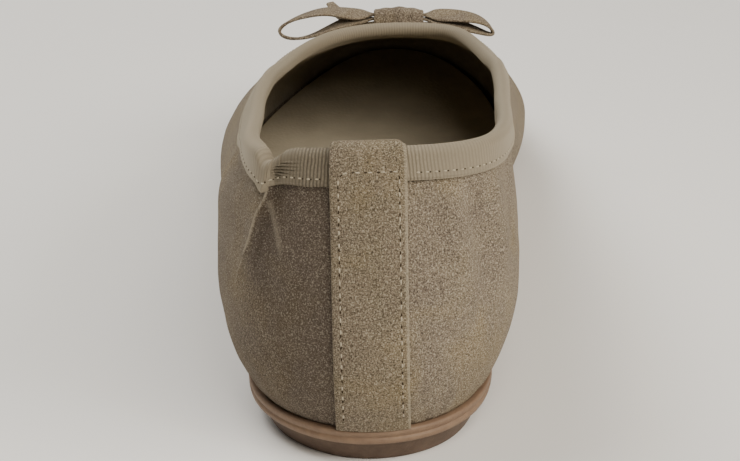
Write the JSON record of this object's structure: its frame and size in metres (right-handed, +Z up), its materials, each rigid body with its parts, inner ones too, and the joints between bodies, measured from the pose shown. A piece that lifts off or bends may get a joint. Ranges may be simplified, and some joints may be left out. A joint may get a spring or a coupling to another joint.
{
  "type": "ballet flat",
  "caption": "Women's ballet flat for the left foot: suede upper on a rounded last, ribbon-bound collar, back strip, thin strap bow, thin rubber outsole and low heel lift",
  "frame": {"origin": "on the floor under the middle of the heel lift", "axes": "+Y to the toe, +X to the inner (big toe) side, +Z up"},
  "size_m": [0.0805, 0.249, 0.0712],
  "materials": {
    "upper_suede": "napped suede, matte",
    "binding_ribbon": "ribbed grosgrain, matte",
    "sole_rubber": "moulded, satin",
    "lift_rubber": "moulded, matte",
    "insole_lining": "soft matte"
  },
  "bodies": {
    "root": {"outsole": "sole_rubber", "heel_lift": "lift_rubber", "upper": "upper_suede", "topline_binding": "binding_ribbon", "back_strip": "upper_suede", "insole": "insole_lining", "bow_loops": "upper_suede", "bow_tails": "upper_suede", "bow_knot": "upper_suede"}
  },
  "joints": []
}
